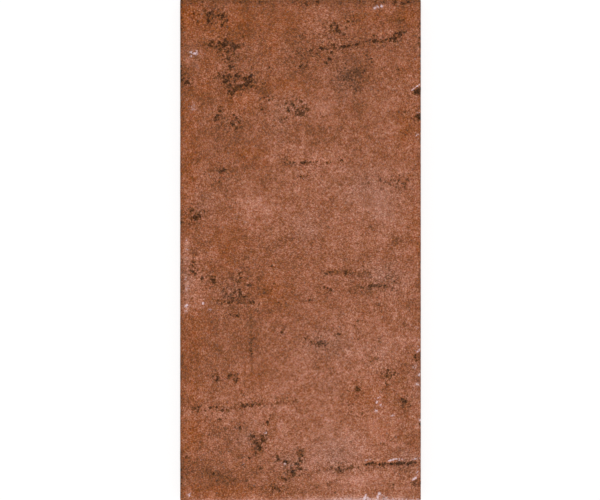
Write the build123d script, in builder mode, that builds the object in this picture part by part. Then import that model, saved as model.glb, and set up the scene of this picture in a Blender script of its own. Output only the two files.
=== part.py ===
"""Brick-look floor tile: one pressed stoneware piece with a pillowed, furrowed face and a keyed back.

Units are millimetres. The origin is the middle of the back, on the plane that the tile is bedded on.
+Z points out of the face, +Y runs along the length and +X across the width.
"""

import os
from itertools import pairwise
from math import hypot, radians, sqrt, tan

from build123d import *

# Size of the tile as it is sold
tile_width = 120.0
tile_length = 250.0
tile_thickness = 9.5

# Upright corners of the outline
corner_radius = 0.6

# Pillowed margin of the face: it falls away towards the arris, the worn edge between face and side
margin_width = 4.0
margin_drop = 0.45
margin_blend_radius = 11.0
flat_corner_radius = 3.0
arris_radius = 0.5

# Sides: upright at the top, drawn in below so that the tile leaves the press die
draft_height = 5.0
draft_angle = 6.0
back_edge_chamfer = 0.6

# Keyed back: shallow pockets between ribs, which the adhesive fills
back_border = 6.0
key_size = 15.0
key_depth = 0.8
key_corner_flat = 1.5
key_draft_angle = 20.0
rib_width = 3.0

# Chips along the right-hand side: how far each lies from the far end, how far it reaches in over the face,
# how far it drops down the side, and the radius of the scoop
right_side_chips = (
    (45.5, 4.4, 1.5, 4.6),
    (58.5, 2.9, 1.2, 3.2),
    (69.0, 2.0, 1.0, 3.0),
    (177.5, 3.4, 1.3, 3.8),
    (240.5, 3.6, 1.3, 3.4),
)

# Furrows dragged across the face: start, end, width and depth in the middle, running out at both ends
furrows = (
    ((7.0, 99.5), (53.0, 109.5), 2.2, 0.35),
    ((-9.0, 43.0), (17.0, 44.5), 1.8, 0.30),
    ((10.0, -10.5), (35.0, -13.0), 1.6, 0.25),
    ((28.0, -18.0), (48.5, -16.5), 1.8, 0.28),
    ((-54.0, -80.0), (-20.0, -76.5), 2.0, 0.32),
    ((9.0, -110.5), (26.0, -109.0), 1.6, 0.28),
    ((31.0, -107.8), (57.0, -105.4), 2.0, 0.35),
)

# How closely two heights must agree to count as one
height_tolerance = 0.001

# Worked out from the sizes above
arris_height = tile_thickness - margin_drop
draft_inset = (draft_height - back_edge_chamfer) * tan(radians(draft_angle))
foot_inset = draft_height * tan(radians(draft_angle)) + back_edge_chamfer
key_pitch = key_size + rib_width
key_field_width = tile_width - 2 * (foot_inset + back_border)
key_field_length = tile_length - 2 * (foot_inset + back_border)
key_columns = int((key_field_width + rib_width) // key_pitch)
key_rows = int((key_field_length + rib_width) // key_pitch)

# Levels of the slab from the back up: height, how far the outline is drawn in there, and its corner radius
levels = (
    (0, foot_inset, corner_radius),
    (back_edge_chamfer, draft_inset, corner_radius),
    (draft_height, 0, corner_radius),
    (arris_height, 0, corner_radius),
    (tile_thickness, margin_width, flat_corner_radius),
)


def outline_at(height, inset, corner):
    """The tile's outline at that height."""
    with BuildSketch(Plane.XY.offset(height)) as outline:
        RectangleRounded(tile_width - 2 * inset, tile_length - 2 * inset, corner)
    return outline.sketch


def scoop_centre(from_far_end, reach, drop, radius):
    """Centre of a ball that leaves the face `reach` in from the right and the side `drop` below the face."""
    chord = hypot(reach, drop)
    stand_off = sqrt(radius**2 - (chord / 2) ** 2)
    across = tile_width / 2 - reach / 2 + stand_off * drop / chord
    along = tile_length / 2 - from_far_end
    height = tile_thickness - drop / 2 + stand_off * reach / chord
    return across, along, height


def cut_furrow(start, end, width, depth):
    """Roll a round-rimmed wheel along the furrow: deepest in the middle, lifting out at both ends."""
    run_x = end[0] - start[0]
    run_y = end[1] - start[1]
    wheel_radius = hypot(run_x, run_y) ** 2 / (8 * depth) + depth / 2
    rim_radius = width**2 / (8 * depth) + depth / 2
    middle_x = (start[0] + end[0]) / 2
    middle_y = (start[1] + end[1]) / 2
    hub = (middle_x, middle_y, tile_thickness - depth + wheel_radius)
    with Locations(Plane(origin=hub, z_dir=(-run_y, run_x, 0))):
        Torus(wheel_radius - rim_radius, rim_radius, mode=Mode.SUBTRACT)


with BuildPart() as floor_tile:
    # Bevelled back edge, drafted lower part, upright band and pillowed margin, one on top of the other
    for lower, upper in pairwise(levels):
        loft([outline_at(*lower), outline_at(*upper)], ruled=True)

    # Blend of the margin into the flat, then the softened arris
    fillet(floor_tile.faces().sort_by(Axis.Z)[-1].edges(), radius=margin_blend_radius)
    arris = floor_tile.edges().filter_by(lambda edge: abs(edge.center().Z - arris_height) < height_tolerance)
    fillet(arris, radius=arris_radius)

    # Chipped right-hand side
    for from_far_end, reach, drop, radius in right_side_chips:
        with Locations(scoop_centre(from_far_end, reach, drop, radius)):
            Sphere(radius, mode=Mode.SUBTRACT)

    # Furrowed face
    for furrow in furrows:
        cut_furrow(*furrow)

    # Keyed back
    with BuildSketch() as keys:
        with GridLocations(key_pitch, key_pitch, key_columns, key_rows):
            Rectangle(key_size, key_size)
        chamfer(keys.vertices(), length=key_corner_flat)
    extrude(keys.sketch, amount=key_depth, taper=key_draft_angle, mode=Mode.SUBTRACT)

floor_tile.part.label = "floor_tile"

os.makedirs("parts", exist_ok=True)
export_step(floor_tile.part, "parts/floor_tile.step")
print(f"keys on the back: {key_columns} by {key_rows}, volume {floor_tile.part.volume / 1000:.1f} cm3")
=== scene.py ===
# %% [markdown]
# # A brick-look floor tile
# The real object is one slab of pressed clay, 12 by 25 cm and under a centimetre thick, fired until it is
# hard. Its face imitates an old handmade brick: sandy, mottled, scorched in places, with furrows and chips.
# The CAD solid already has the right size, so it is loaded first and everything else is measured from it.

# %% Load the CAD solid as the frame
import math

import bmesh
import bpy
import numpy as np
from mathutils import Matrix, Vector, noise


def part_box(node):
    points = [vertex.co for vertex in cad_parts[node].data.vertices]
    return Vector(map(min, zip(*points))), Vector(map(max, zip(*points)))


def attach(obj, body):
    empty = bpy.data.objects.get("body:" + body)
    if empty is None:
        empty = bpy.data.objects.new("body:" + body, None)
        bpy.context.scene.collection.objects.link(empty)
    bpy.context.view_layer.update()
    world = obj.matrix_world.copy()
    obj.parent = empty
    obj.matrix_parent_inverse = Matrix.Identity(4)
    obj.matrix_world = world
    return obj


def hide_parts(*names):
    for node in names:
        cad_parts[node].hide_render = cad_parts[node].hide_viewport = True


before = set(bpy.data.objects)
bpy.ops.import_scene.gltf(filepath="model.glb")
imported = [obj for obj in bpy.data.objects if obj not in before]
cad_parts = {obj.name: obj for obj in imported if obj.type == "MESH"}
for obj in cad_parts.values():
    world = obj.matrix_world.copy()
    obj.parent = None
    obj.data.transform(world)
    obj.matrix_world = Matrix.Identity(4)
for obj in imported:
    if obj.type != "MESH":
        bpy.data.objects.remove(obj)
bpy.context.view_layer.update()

MM = 0.001
slab_low, slab_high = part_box("floor_tile")
half_width = (slab_high.x - slab_low.x) / 2
half_length = (slab_high.y - slab_low.y) / 2
face_height = slab_high.z
print(f"tile {half_width * 2 / MM:.0f} x {half_length * 2 / MM:.0f} x {face_height / MM:.1f} mm")

# %% [markdown]
# ## The slab
# A slab with a worked face could be a cube with many loop cuts, but the face needs far more vertices than
# the sides do. So the face starts as a fine grid, and its border is extruded ring by ring round the arris,
# which is the soft edge between face and side, then down the side to the back. Each ring is laid on the
# rounded outline of the tile, drawn in by its own amount, so the corners come out round by themselves.

# %% The face as a grid that ends where the arris begins
corner_radius = 0.6 * MM
arris_radius = 0.5 * MM
grid_pitch = 0.65 * MM


def lay_on_outline(vert, inset):
    """Move a border vertex onto the rounded outline, drawn in by `inset`."""
    reach_x = half_width - inset - corner_radius
    reach_y = half_length - inset - corner_radius
    centre_x = max(-reach_x, min(reach_x, vert.co.x))
    centre_y = max(-reach_y, min(reach_y, vert.co.y))
    outward = Vector((vert.co.x - centre_x, vert.co.y - centre_y)).normalized() * corner_radius
    vert.co.x = centre_x + outward.x
    vert.co.y = centre_y + outward.y


slab = bmesh.new()
bmesh.ops.create_grid(
    slab,
    x_segments=round(2 * (half_width - arris_radius) / grid_pitch),
    y_segments=round(2 * (half_length - arris_radius) / grid_pitch),
    size=1.0,
    matrix=Matrix.Diagonal((half_width - arris_radius, half_length - arris_radius, 1.0, 1.0)),
)
face_layer = slab.verts.layers.float.new("face")
for vert in slab.verts:
    vert[face_layer] = 1.0
    vert.co.z = face_height
border = [edge for edge in slab.edges if edge.is_boundary]
for vert in {vert for edge in border for vert in edge.verts}:
    lay_on_outline(vert, arris_radius)
print(f"face grid: {len(slab.faces)} faces, {len(border)} edges round its border")

# %% Rings round the arris, down the side and over the back edge
margin_drop = 0.45 * MM
drop_at_arris = 0.72
face_lost_at_arris = 0.6
draft_height = 5.0 * MM
draft_angle = math.radians(6.0)
back_chamfer = 0.6 * MM
arris_steps = 5
side_steps = 5
arris_top = face_height - margin_drop * drop_at_arris
arris_foot = arris_top - arris_radius

# Each ring: how far it is drawn in, its height, and how much of the face's look it takes over
rings = []
for step in range(1, arris_steps + 1):
    turn = math.radians(90) * step / arris_steps
    inset = arris_radius * (1 - math.sin(turn))
    height = arris_top - arris_radius * (1 - math.cos(turn))
    rings.append((inset, height, 1.0 - face_lost_at_arris * step / arris_steps))
for step in range(1, side_steps + 1):
    rings.append((0.0, arris_foot + (draft_height - arris_foot) * step / side_steps, 0.0))
for step in range(1, side_steps + 1):
    height = draft_height + (back_chamfer - draft_height) * step / side_steps
    rings.append(((draft_height - height) * math.tan(draft_angle), height, 0.0))
rings.append((draft_height * math.tan(draft_angle) + back_chamfer, 0.0, 0.0))

for inset, height, face_share in rings:
    made = bmesh.ops.extrude_edge_only(slab, edges=border)["geom"]
    ring = {item for item in made if isinstance(item, bmesh.types.BMVert)}
    border = [
        item
        for item in made
        if isinstance(item, bmesh.types.BMEdge) and item.verts[0] in ring and item.verts[1] in ring
    ]
    for vert in ring:
        lay_on_outline(vert, inset)
        vert.co.z = height
        vert[face_layer] = face_share
print(f"{len(rings)} rings, the last with {len(border)} edges on the bedding plane")

# %% [markdown]
# ## The keyed back
# Tiles like this are pressed with shallow pockets on the back, so that the adhesive grips. A grid with one
# cell for each pocket is inset to leave the ribs, its pocket corners are cut off, and each pocket is inset
# once more while it sinks. The gap between the pockets and the outer ring is flat, so it is simply filled.

# %% Pockets between ribs
key_pitch = 18.0 * MM
rib_width = 3.0 * MM
key_depth = 0.8 * MM
key_corner = 1.5 * MM
key_draft = math.radians(20.0)
key_columns = 6
key_rows = 13

before = set(slab.verts)
bmesh.ops.create_grid(
    slab,
    x_segments=key_columns,
    y_segments=key_rows,
    size=1.0,
    matrix=Matrix.Diagonal((key_columns * key_pitch / 2, key_rows * key_pitch / 2, 1.0, 1.0)),
)
cells = [face for face in slab.faces if face.verts[0] not in before]
bmesh.ops.reverse_faces(slab, faces=cells)
bmesh.ops.inset_individual(slab, faces=cells, thickness=rib_width / 2)
corners = [vert for face in cells for vert in face.verts]
bmesh.ops.bevel(
    slab, geom=corners, offset=key_corner, affect="VERTICES", segments=1, profile=0.5, material=-1
)
pockets = [face for face in slab.faces if len(face.verts) == 8]
bmesh.ops.inset_individual(
    slab, faces=pockets, thickness=key_depth * math.tan(key_draft), depth=-key_depth
)
print(f"{len(pockets)} pockets, sunk {key_depth / MM:.1f} mm")

# %% Soften the pockets' rims and floors, then close the back
rim_round = 0.3 * MM
rim_angle = math.radians(30)
pocket_rims = [
    edge
    for edge in slab.edges
    if edge.verts[0] not in before and len(edge.link_faces) == 2 and edge.calc_face_angle() > rim_angle
]
bmesh.ops.bevel(
    slab, geom=pocket_rims, offset=rim_round, affect="EDGES", segments=2, profile=0.5, material=-1
)
open_loops = [edge for edge in slab.edges if edge.is_boundary]
bmesh.ops.triangle_fill(slab, edges=open_loops, use_beauty=True, normal=(0, 0, -1))
bmesh.ops.recalc_face_normals(slab, faces=slab.faces)
open_edges = sum(1 for edge in slab.edges if not edge.is_manifold)
print(f"closed slab: {len(slab.verts)} vertices, {len(slab.faces)} faces, {open_edges} open edges")

# %% Turn it into a mesh object at the origin
tile_mesh = bpy.data.meshes.new("fired_tile")
slab.to_mesh(tile_mesh)
slab.free()
fired_tile = bpy.data.objects.new("fired_tile", tile_mesh)
bpy.context.scene.collection.objects.link(fired_tile)
print(f"{fired_tile.name}: {len(tile_mesh.vertices)} vertices")

# %% [markdown]
# ## A ruler for the marks
# The face is covered in marks, and each is placed one by one. They are read off as a tiler would do it, with a
# ruler along the far edge and another along the left edge. A step is 1/241 of the width, about half a
# millimetre: `across` counts steps from the left, `down` counts them from the far edge towards the viewer.
# NumPy works on all vertices at once, which is far quicker than a Python loop over a hundred thousand.

# %% Read the vertices and lay the ruler
steps_across = 241
far_edge_mark = -1
ruler_step = 2 * half_width / steps_across
seed_stride = Vector((7.3, 3.1, 5.7))

count = len(tile_mesh.vertices)
place = np.empty(count * 3)
tile_mesh.vertices.foreach_get("co", place)
place = place.reshape(-1, 3)
face_share = np.empty(count)
tile_mesh.attributes["face"].data.foreach_get("value", face_share)
across = (place[:, 0] + half_width) / ruler_step
down = (half_length - place[:, 1]) / ruler_step + far_edge_mark


def spot_falloff(spot_across, spot_down, reach_across, reach_down, ruler=(across, down)):
    """A soft round spot: 1 in its middle, about a third at its reach."""
    aside = (ruler[0] - spot_across) / reach_across
    beyond = (ruler[1] - spot_down) / reach_down
    return np.exp(-(aside**2) - beyond**2)


def along_and_aside(start_across, start_down, end_across, end_down):
    """How far along a stroke each vertex lies, from 0 to 1, and how far aside of it, in ruler steps."""
    run = np.array([end_across - start_across, end_down - start_down])
    length = np.hypot(*run)
    rel = np.stack([across - start_across, down - start_down], 1)
    along = rel @ run / length**2
    aside = (rel[:, 0] * run[1] - rel[:, 1] * run[0]) / length
    return along, aside, length


def stroke_falloff(start_across, start_down, end_across, end_down, reach):
    """A soft line with round ends."""
    along, aside, length = along_and_aside(start_across, start_down, end_across, end_down)
    beyond = np.clip(np.abs(along - 0.5) - 0.5, 0, None) * length
    return np.exp(-(aside**2 + beyond**2) / reach**2)


def ripple(wavelength, seed):
    """Smooth noise over the tile, about -1 to 1, with lumps of roughly that wavelength."""
    shift = seed * seed_stride
    return np.array([noise.noise(Vector(spot) / wavelength + shift) for spot in place])


print(f"{count} vertices under the ruler, {across.max():.0f} by {down.max():.0f} steps")

# %% [markdown]
# ## Scorch marks
# Reduced, almost black patches are what makes the face look like an old brick. On the real tile they are
# swarms of fine dark specks and not solid spots. So the mesh only carries how dense the swarm is at each
# vertex, and the material later breaks that up into specks. Each entry below is one swarm: where it is,
# how far it reaches both ways, and how dense it is. The wide, thin ones at the end are haze between swarms.

# %% Swarms of scorch, from the far end to the near end
scorch_spots = [
    (28.5, 15.5, 5, 6, 0.56), (42.5, 17.5, 5, 6.5, 0.52), (35, 14, 5, 4, 0.35), (18, 17, 6, 5, 0.4),
    (153, 25, 4, 3.5, 0.42), (156.5, 30.5, 4, 3, 0.49), (170.5, 19.5, 4.5, 4, 0.39), (33, 43.5, 4, 4, 0.52),
    (43, 43.5, 6, 5, 0.49), (53, 47, 6.5, 3.5, 0.45), (44, 53, 8, 4.5, 0.4),
    (215, 37.5, 7, 3.5, 0.52), (7, 81.5, 4, 3, 0.7), (7, 80, 8, 6, 0.35), (47, 81, 4.5, 4.5, 0.55),
    (68.5, 81.5, 5.5, 7, 0.59), (52, 90, 4.5, 5.5, 0.59),
    (61.5, 87.5, 8, 3, 0.52), (88, 99.5, 7, 3, 0.4), (116, 111, 4.5, 4, 0.5), (122, 110, 4, 5, 0.49),
    (124, 105, 4, 3, 0.39), (110, 104.5, 6.5, 3, 0.32), (53, 124.5, 6.5, 4, 0.42), (46, 122, 5, 6, 0.35),
    (109, 162, 5.5, 2.5, 0.35), (213, 181, 14, 6, 0.38), (15.5, 217, 5, 4, 0.57), (14, 214, 9, 8, 0.35),
    (12, 222, 5, 3, 0.35), (13, 262.5, 4, 4.5, 0.35), (32.5, 279, 4, 5.5, 0.59),
    (51, 297.5, 4.5, 2.5, 0.35), (148.5, 272.5, 7, 2, 0.39), (167, 272, 6, 3, 0.45),
    (192, 285.8, 7, 2.2, 0.48), (203, 286.5, 6, 2.2, 0.42), (209, 277, 6, 3, 0.28),
    (140.5, 343, 7, 2.5, 0.43), (210.5, 373, 5, 4.2, 0.42),
    (58, 426.5, 4.5, 2.5, 0.32), (72, 436.5, 4.5, 3, 0.45), (82.5, 439, 3, 4.5, 0.57),
    (79.5, 450, 3, 4.5, 0.45), (73.5, 451, 4, 3, 0.35), (113, 468, 7, 7, 0.45), (112.5, 472, 4, 3, 0.56),
    (118, 465, 3.5, 5, 0.49), (99, 488.3, 6.5, 3.5, 0.55),
    (32, 472.5, 5.5, 3, 0.35), (49.5, 478.5, 6.5, 5, 0.42), (1, 12, 2, 12, 0.35), (1, 37, 2, 11, 0.4),
    (2, 80, 4, 5, 0.42), (240.5, 60, 1, 14, 0.4), (110, 3.5, 9, 1.6, 0.35), (225, 3, 7, 1.8, 0.42),
    (92, 112, 26, 14, 0.14), (60, 62, 40, 26, 0.07), (150, 58, 36, 16, 0.1), (172, 76, 14, 10, 0.26),
    (205, 34, 26, 12, 0.1), (50, 130, 26, 18, 0.1), (52, 290, 28, 24, 0.12), (195, 285, 34, 12, 0.1),
    (60, 445, 30, 22, 0.1), (118, 56, 14, 12, 0.2), (128, 70, 8, 8, 0.24), (42, 432, 18, 7, 0.2),
    (110, 465, 20, 16, 0.12), (45, 480, 34, 12, 0.1),
]
swarm_spread = 1.5
scorch = np.zeros(count)
for *middle, reach_across, reach_down, density in scorch_spots:
    swarm = spot_falloff(*middle, swarm_spread * reach_across, swarm_spread * reach_down)
    scorch = np.maximum(scorch, density * swarm)
print(f"{len(scorch_spots)} swarms, over {np.mean(scorch > 0.2) * 100:.0f}% of the vertices")

# %% [markdown]
# ## Burnt grains
# Within and between the swarms single grains have burnt nearly black, and they are what the eye picks out
# first. A noise can't put them where they belong, so each is placed one by one. They are listed by how dark
# they are, in tenths, each with its place and its radius in ruler steps. A grain has a dark core, a thin pale
# rim where the heat drew the colour out, and a wide halo that only makes the swarm round it denser.

# %% Grains placed one by one, the darkest first
# The grains beside the chips on the right edge, near 91, 116, 356 and 482 steps down, are painted shade in the
# chip hollows and not burnt clay
burnt_grains = {
    10: [
        (42.6, 16, 2.2), (28, 20, 1.9), (157.5, 31, 1.6), (212.8, 38.1, 1.9), (215, 38.3, 1.6),
        (32.6, 41.9, 2.1), (164.3, 46.6, 1.5), (120.6, 66.2, 1.8), (0.5, 66.5, 1.3), (0.3, 71.5, 1.3),
        (55.8, 75.9, 2), (70.9, 76, 1.5), (69.2, 77.8, 1.7), (65.3, 78.9, 2.2), (71.3, 80.4, 1.9),
        (45.3, 81.6, 2.2), (7, 82.4, 2.2), (67.8, 82.5, 2), (67, 85.2, 1.9), (54.5, 90.7, 1.9),
        (52, 93.8, 1.8), (117.9, 110.4, 2), (36.4, 117, 1.5), (16, 217.6, 2.2), (33.4, 281, 1.8),
        (69.6, 285, 1.4), (70.9, 302.9, 1.5), (235, 357.6, 1.2), (207.6, 376.1, 1.7), (176.8, 388.7, 2.3),
        (178.3, 389.8, 1.6), (224.7, 400.8, 1.8), (87.4, 422, 1.4), (82.9, 439.9, 2.1), (77.5, 443.1, 1.7),
        (80, 447.7, 1.9), (120.3, 461, 1.3), (106.2, 461.1, 1.4), (230, 462.5, 1.5), (223.4, 462.9, 1.5),
        (220.5, 463, 1.7), (192, 463.2, 1.8), (189.1, 463.8, 1.6), (217.7, 463.8, 1.6), (113, 472.3, 2),
        (233.8, 483, 1.4),
    ],
    9: [
        (228.5, 2, 1.8), (31, 13, 1.8), (151.4, 26.4, 1.8), (240, 38, 1.4), (39.2, 42.6, 1.6),
        (45.2, 45.1, 1.8), (55.4, 47.8, 2.1), (148.9, 59.2, 1.5), (49.5, 75, 1.4), (43, 77.1, 1.7),
        (48, 86.8, 1.5), (57.1, 88.5, 2.2), (238.5, 90.5, 1.6), (49.5, 91.3, 1.5), (236, 92, 2),
        (40.3, 111, 1.3), (121.4, 114.7, 1.9), (237, 116, 2), (239.5, 118, 1.5), (56, 119, 1.4),
        (53.4, 125.2, 1.6), (161.7, 160.8, 1.5), (12, 209.7, 1.9), (19.4, 215.9, 1.6), (16.7, 219, 1.3),
        (13.5, 271.6, 1.3), (34.8, 276.7, 1.2), (58.4, 282, 1.6), (34.6, 282.9, 1.2), (150.8, 289.7, 1.5),
        (60.6, 293.3, 1.4), (158.6, 334.1, 1.3), (235, 355, 1), (210.9, 375.2, 1.1), (51.6, 375.4, 1.6),
        (48.4, 376.7, 1.2), (38.2, 377.4, 1.2), (37, 379.8, 1.3), (79.1, 404.6, 1.5), (40.4, 419.6, 1.5),
        (240.6, 424, 1.2), (73.4, 436.5, 1.7), (74.3, 441.5, 1.4), (121, 451.4, 1.2), (122, 452, 1),
        (122.6, 455.5, 1.1), (97.4, 456.1, 1.4), (97.9, 459.7, 1.4), (232.6, 462, 1.3), (211, 463.4, 1.2),
        (214, 463.5, 1.2), (227.7, 463.6, 1.5), (199.8, 464.5, 1.2), (0.5, 470, 1.3), (104.7, 478.9, 1.6),
        (213.4, 484.3, 1.2),
    ],
    8: [
        (215, 1.8, 1.8), (27, 15.5, 1.8), (40.7, 18.8, 1.5), (154.3, 23.3, 1.2), (240.5, 23.8, 1.3),
        (42, 25.4, 1.8), (157.5, 26.3, 1.5), (156.7, 28.3, 1.1), (154, 31, 1.1), (215.3, 34.2, 1.5),
        (220.7, 34.2, 1.4), (218.7, 36.6, 1.7), (205.8, 40.1, 1.5), (45.6, 40.4, 1.8), (214.4, 41.4, 1.5),
        (30.5, 43, 1.7), (53.3, 43.8, 1.4), (42.5, 44.3, 1.6), (177, 44.4, 1.6), (153.6, 44.7, 1.5),
        (168.9, 45.8, 1.7), (35.6, 47.5, 1.7), (140.5, 47.5, 1.2), (154.4, 48.2, 1.5), (47.6, 52, 1.6),
        (151.7, 52.8, 1.6), (47.4, 56.2, 1.5), (48.5, 59, 1.7), (126.1, 65.8, 1.4), (49.8, 66.8, 1.7),
        (39.3, 76, 1.8), (47.6, 80.3, 1.6), (64.3, 84.5, 1.8), (61.5, 85.5, 1.7), (60.4, 88.5, 2),
        (120.8, 101.6, 1.6), (112.1, 104, 1.7), (122.9, 106.6, 1.7), (108.3, 107.8, 1.7),
        (126.4, 108.7, 1.5), (127.7, 109.8, 1.4), (124.1, 112, 1.6), (119.3, 113.6, 1.7), (240, 114, 1.2),
        (38, 115.2, 1.3), (59.3, 122, 1.4), (51.2, 123, 1.5), (56.6, 127.8, 1.5), (123.4, 162.8, 1.9),
        (14.7, 217, 1.3), (0.5, 223, 1.5), (11, 270.6, 1.3), (59.5, 272.8, 1.1), (22.1, 278.8, 1.5),
        (144.3, 287, 1.4), (55, 292.1, 1.6), (64.5, 297.2, 1.2), (53.5, 298.1, 1.4), (130, 300.1, 1.4),
        (74, 302.1, 1.2), (48.7, 302.8, 1.8), (177.6, 321, 1.2), (101.8, 332, 1.4), (198.9, 341, 1.2),
        (236.5, 360.5, 1.2), (35.2, 374.4, 1.2), (214, 374.4, 1.3), (49.6, 374.5, 1.1), (37.5, 375, 1.2),
        (54.6, 375.3, 1.2), (33.4, 376, 1.1), (57, 378.8, 1), (222.1, 399.4, 1.5), (226, 402.3, 1.2),
        (62.4, 405.4, 1.7), (71.7, 405.5, 1.5), (42.5, 410.5, 1.5), (59.8, 427.3, 1.1), (86.2, 435.2, 1.3),
        (82.5, 436.5, 1.3), (85.3, 440.5, 1.1), (119.5, 451, 1.2), (118, 453.3, 1.8), (120.8, 455, 1.3),
        (118.8, 456, 1.1), (69.3, 458.1, 1.2), (119.7, 458.8, 1.1), (205, 463.6, 1.3), (116, 463.8, 1.5),
        (195.5, 463.8, 1.4), (185.8, 464.8, 1.2), (80.7, 468.1, 1.7), (113.5, 474.5, 1.3),
        (109.1, 477.9, 1.1), (235, 481.5, 1.3), (203.7, 497.8, 1.2),
    ],
    7: [
        (204, 1.6, 1.3), (25.5, 11, 1.8), (38.4, 15.5, 1.5), (47.3, 20.7, 1.6), (167.8, 21.7, 1.7),
        (172.4, 21.7, 1.2), (154.8, 24.8, 0.9), (160, 32.2, 1), (220.1, 32.3, 1.5), (194, 35.6, 1.5),
        (63, 36, 1.3), (194, 41, 2.2), (217, 41.4, 1.5), (201.4, 42.3, 1.4), (38.8, 45.8, 1.5),
        (162.4, 47.6, 1.2), (142.8, 49.5, 1.3), (40.3, 50, 1.7), (131, 50.8, 1.6), (147, 63.6, 1.4),
        (89.5, 67, 1.2), (71.7, 67.5, 1.3), (59.1, 72.3, 1.3), (46.3, 73, 1.2), (1, 75.5, 1.3),
        (58.8, 76.8, 1.5), (1.3, 80.5, 1.6), (5.5, 83, 1.2), (50.5, 85, 1.7), (71.2, 86.6, 2),
        (234, 93.5, 1.5), (89, 100.4, 1.3), (106.1, 103.5, 1.4), (113.8, 105.2, 1.4), (81.9, 109.5, 1.4),
        (108.9, 111.2, 1.8), (120.8, 111.4, 1.2), (116, 114.4, 1.6), (53.8, 114.6, 1.2), (43.5, 169.7, 1.8),
        (41.1, 171.4, 1.4), (121.1, 176.2, 1.6), (218.7, 180, 1.4), (39.1, 182.4, 1.5), (224.7, 187, 1.3),
        (11.5, 218.7, 1.6), (13.6, 265.3, 1.4), (166.3, 272.7, 1.9), (15.7, 273.4, 1.2), (31.5, 279, 1.2),
        (204.8, 286.5, 1.5), (181.5, 287.5, 1.6), (147.6, 288, 1), (212.9, 288.1, 1.4), (43.4, 289.6, 1.2),
        (46.6, 293.5, 1.1), (62.3, 296.3, 1.3), (49, 296.4, 1.1), (79, 303.9, 1.1), (157, 334, 0.9),
        (160.3, 334.2, 0.9), (141.4, 343, 1.8), (71.1, 351.5, 1.2), (71.9, 354, 1.1), (208.5, 370, 1.2),
        (214.6, 371.9, 1.2), (207.1, 373.5, 1.2), (34.6, 374.8, 1.2), (49.3, 378.8, 1), (53.8, 379.2, 1.1),
        (205.9, 383, 1.2), (208, 384, 1), (61.3, 392.4, 1.3), (97.1, 402.8, 1.3), (67.1, 404.4, 1.4),
        (31, 407, 1.3), (36.4, 407.5, 1.3), (47.3, 410.2, 1.4), (182.3, 413.1, 1.3), (88.2, 424.5, 1.3),
        (60.6, 429.4, 1), (87.2, 433.5, 1), (77.8, 440.3, 1.1), (81.5, 443, 1), (78.7, 446, 1.1),
        (75.4, 448.3, 1.2), (75.9, 452.3, 1.5), (6.1, 456.7, 1.1), (103.8, 461.9, 1.3), (107.5, 463, 1.1),
        (202.5, 464.2, 1.2), (118, 465, 1.3), (171.7, 466.7, 1.6), (158.9, 467.3, 1.7), (117.8, 468.2, 1.6),
        (120.7, 468.3, 1.6), (160.6, 469.9, 1.4), (107.5, 470.5, 1.6), (107.3, 473.5, 1.2),
        (33.7, 473.7, 1.5), (101.8, 477.8, 1.2), (1.5, 478, 1.3), (106.5, 480, 1.1), (237, 480.5, 1.4),
    ],
    6: [
        (138, 2, 1.6), (33.2, 11.3, 1.5), (33.5, 15, 1.7), (29.5, 16.5, 1.5), (200.7, 22.5, 1.6),
        (166.2, 28.3, 1.2), (150.5, 30.8, 1), (221.7, 31.8, 1.3), (225, 32.1, 1.4), (239.5, 32.5, 1),
        (163.5, 34.7, 1.5), (203.3, 37.4, 1.2), (222.2, 38.2, 1), (210, 40.7, 1.5), (204, 41.2, 1.2),
        (48, 43.2, 1.4), (178.8, 43.5, 1.2), (239, 43.5, 1.6), (28.5, 45.3, 1.7), (151.5, 45.5, 1.3),
        (31.5, 46.5, 1.5), (59, 47.5, 1.6), (159.6, 47.8, 1.2), (54, 51.5, 1.4), (54.3, 53.5, 1.2),
        (187.5, 55.7, 1.5), (131.6, 56.4, 1.4), (145, 62, 1.3), (191.6, 62, 1.3), (53.5, 66.5, 1.1),
        (204, 67.4, 1.3), (218.5, 69, 1.2), (66, 76.8, 1.2), (51.5, 77, 1.4), (48, 77.6, 1.5),
        (54.5, 81.8, 1.5), (8.3, 83.5, 1.5), (53, 88.5, 1.4), (116.9, 98.7, 1.5), (81.3, 103.4, 1.2),
        (42.4, 107.3, 1), (225, 112, 1.6), (101.9, 120.2, 1.6), (48.5, 123, 1.2), (46.4, 126.6, 1.3),
        (107, 160.2, 1.4), (130.6, 161.8, 1.6), (136.2, 162.3, 1.7), (113.7, 162.7, 1.5),
        (147.7, 162.9, 1.7), (127.7, 163.2, 1.2), (45.8, 170, 1.5), (12.1, 177.5, 1.2), (200, 179.5, 1.1),
        (210.8, 180, 1.2), (215, 180.5, 1.1), (225.3, 183.5, 1.2), (188.3, 183.6, 1.2), (217, 184.5, 1),
        (46.5, 190.8, 1.4), (20, 211.7, 1.6), (24.4, 212.2, 1.5), (17.5, 213.5, 1.2), (20.3, 218.8, 1.2),
        (13.6, 261.7, 1.8), (79.4, 266.1, 1.1), (91.8, 266.7, 1.5), (18.2, 269.7, 1.3), (150, 272.4, 1.7),
        (58.6, 275.5, 0.9), (30.8, 277.4, 1.8), (60.5, 278, 1.2), (79, 280.2, 1.3), (214.5, 281.8, 1.4),
        (65, 283.1, 1.3), (191.5, 285, 1.6), (189.8, 286.5, 1.9), (60, 289.2, 1.4), (51.1, 293.8, 1.2),
        (59, 296, 1.5), (51, 298.3, 1), (12.1, 298.5, 1.2), (69, 301.8, 1.1), (199, 305, 1.4),
        (77.5, 310.3, 1.1), (56.5, 316, 1.3), (59, 316.5, 1.2), (103.3, 330.7, 1), (131, 341.4, 1.3),
        (238.5, 350.5, 1), (36.5, 375.3, 1.2), (34.4, 380.4, 1), (56.5, 381.9, 1), (169, 404.8, 1.4),
        (18.7, 407.4, 1.5), (15, 408.3, 1.6), (25.6, 410.7, 1.4), (18.1, 411.9, 1.4), (171.8, 412, 1.3),
        (32.1, 413, 1.2), (71.5, 434.8, 1.2), (80.4, 435.8, 1.3), (70.6, 439.6, 1.4), (203.5, 444, 1.3),
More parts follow.
